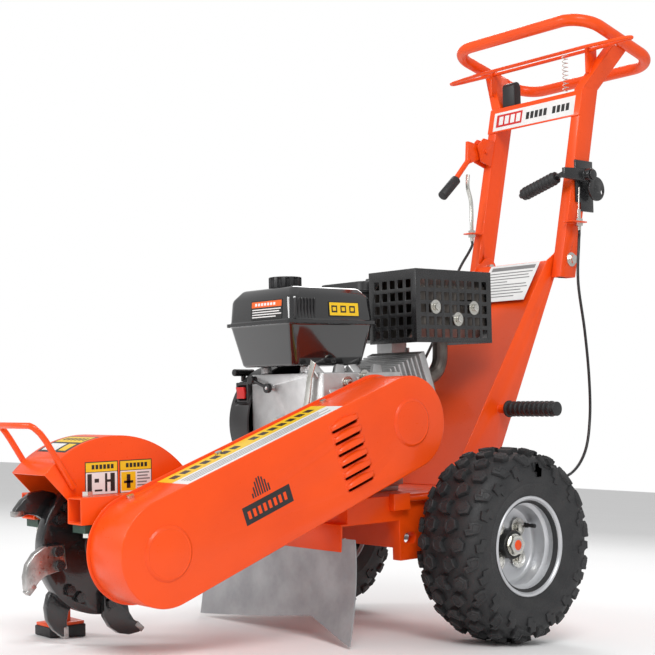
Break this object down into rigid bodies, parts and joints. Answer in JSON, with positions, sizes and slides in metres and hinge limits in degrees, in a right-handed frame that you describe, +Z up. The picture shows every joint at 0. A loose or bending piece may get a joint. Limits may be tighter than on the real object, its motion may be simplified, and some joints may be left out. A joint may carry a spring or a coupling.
{
  "type": "walk-behind stump grinder",
  "caption": "Two-wheeled walk-behind stump grinder with belt-driven cutter wheel, petrol engine, loop handlebar and front stand leg.",
  "frame": {"origin": "on the floor under the middle of the machine's overall box", "axes": "+X to the rear, where the operator stands; -Y to the belt guard's side; +Z up. The chassis leans 5.1 degrees nose-down on its stand"},
  "size_m": [1.4325, 0.673, 1.2824],
  "materials": {
    "orange_paint": "gloss",
    "black_paint": "gloss",
    "black_plastic": "satin",
    "tank_black": "gloss",
    "red_plastic": "gloss",
    "zinc": "bright zinc",
    "steel": "satin",
    "galvanised": "satin",
    "cast_iron": "cast",
    "green_iron": "painted cast",
    "alloy": "cast",
    "silver_paint": "satin",
    "rubber": "matte",
    "tyre": "matte"
  },
  "bodies": {
    "chassis": {"main_frame": "orange_paint", "rear_tower": "orange_paint", "fixed_axle": "steel", "axle_nuts": "zinc", "brake_calipers": "black_paint", "cutter_bearings": "green_iron", "frame_bolts": "zinc", "cutter_hood": "orange_paint", "guard_back_plate": "orange_paint", "belt_guard": "orange_paint", "guard_screws": "zinc", "crankcase": "alloy", "cylinder_head": "alloy", "blower_housing": "black_plastic", "fuel_tank": "tank_black", "air_cleaner": "black_plastic", "carburettor": "alloy", "muffler": "steel", "muffler_guard": "black_paint", "exhaust_elbow": "steel", "chip_deflector": "galvanised", "deflector_clamp": "zinc", "handle_frame": "orange_paint", "handlebar": "orange_paint", "handle_bolts": "zinc", "switch_box": "black_plastic", "brake_bracket": "black_paint", "cable_adjusters": "zinc", "brake_cable": "black_plastic", "toggle_bracket": "orange_paint", "toggle_cable": "black_plastic", "side_grips": "rubber", "drive_belts": "rubber", "belt_tensioner": "orange_paint", "bail_spring": "zinc"},
    "near_wheel": {"near_rim": "silver_paint", "near_tyre": "tyre", "near_hub": "cast_iron"},
    "far_wheel": {"far_rim": "silver_paint", "far_tyre": "tyre", "far_hub": "cast_iron"},
    "cutter": {"cutter_shaft": "steel", "cutter_wheel": "black_paint", "cutter_teeth": "black_paint", "tooth_bolts": "zinc", "cutter_pulley": "cast_iron"},
    "engine_shaft": {"crankshaft": "steel", "clutch_pulley": "cast_iron"},
    "bail_bar": {"bail": "orange_paint"},
    "brake_handle": {"brake_lever": "black_paint", "brake_grip": "rubber"},
    "toggle_handle": {"toggle_lever": "orange_paint", "toggle_grip": "rubber"},
    "stand_leg": {"stand_post": "orange_paint", "stand_foot": "rubber"},
    "stand_clamp": {"stand_screw": "zinc"},
    "starter_pull": {"recoil_handle": "black_plastic"},
    "filler_cap": {"fuel_cap": "black_plastic"},
    "throttle": {"throttle_lever": "black_plastic"},
    "stop_switch": {"engine_switch": "red_plastic"}
  },
  "joints": [
    {"name": "near_wheel_spin", "type": "hinge", "parent": "chassis", "child": "near_wheel", "pos_m": [0.16892, -0.264, 0.1775], "axis": [0, 1, 0], "continuous": true},
    {"name": "far_wheel_spin", "type": "hinge", "parent": "chassis", "child": "far_wheel", "pos_m": [0.16892, 0.264, 0.1775], "axis": [0, 1, 0], "continuous": true},
    {"name": "cutter_spin", "type": "hinge", "parent": "chassis", "child": "cutter", "pos_m": [-0.54444, -0.028, 0.16097], "axis": [0, 1, 0], "continuous": true},
    {"name": "engine_spin", "type": "hinge", "parent": "chassis", "child": "engine_shaft", "pos_m": [-0.0446, 0, 0.38734], "axis": [0, 1, 0], "continuous": true},
    {"name": "bail_squeeze", "type": "hinge", "parent": "chassis", "child": "bail_bar", "pos_m": [0.53208, 0, 1.22597], "axis": [0, 1, 0], "range_deg": [0, 18], "stiffness_Nm_per_rad": 1.5, "springref_deg": -8.59, "deforming": ["bail_spring"]},
    {"name": "brake_squeeze", "type": "hinge", "parent": "chassis", "child": "brake_handle", "pos_m": [0.52684, -0.142, 0.9474], "axis": [0, 1, 0], "range_deg": [0, 30], "stiffness_Nm_per_rad": 2, "springref_deg": -20.05},
    {"name": "toggle_throw", "type": "hinge", "parent": "chassis", "child": "toggle_handle", "pos_m": [0.48325, 0.12, 1.03085], "axis": [0, 1, 0], "range_deg": [0, 95]},
    {"name": "stand_slide", "type": "slide", "parent": "chassis", "child": "stand_leg", "axis": [-0.089, 0, 0.996], "range_m": [0, 0.08]},
    {"name": "stand_screw_turn", "type": "hinge", "parent": "chassis", "child": "stand_clamp", "pos_m": [-0.56191, 0.11, 0.22165], "axis": [0, 1, 0], "range_deg": [0, 180]},
    {"name": "starter_pull_out", "type": "slide", "parent": "chassis", "child": "starter_pull", "axis": [-0.089, 0, 0.996], "range_m": [0, 0.25], "stiffness_N_per_m": 20, "springref_m": -0.02},
    {"name": "filler_cap_turn", "type": "hinge", "parent": "chassis", "child": "filler_cap", "pos_m": [-0.14661, 0.022, 0.63022], "axis": [-0.089, 0, 0.996], "range_deg": [0, 90]},
    {"name": "throttle_set", "type": "hinge", "parent": "chassis", "child": "throttle", "pos_m": [-0.16302, 0.04, 0.44302], "axis": [0.996, 0, 0.089], "range_deg": [-40, 0]},
    {"name": "stop_switch_rock", "type": "hinge", "parent": "chassis", "child": "stop_switch", "pos_m": [-0.15534, 0.129, 0.43568], "axis": [0, 1, 0], "range_deg": [0, 14]}
  ],
  "couplings": [
    {"joint": "engine_spin", "follows": "cutter_spin", "ratio": 1.1482}
  ]
}
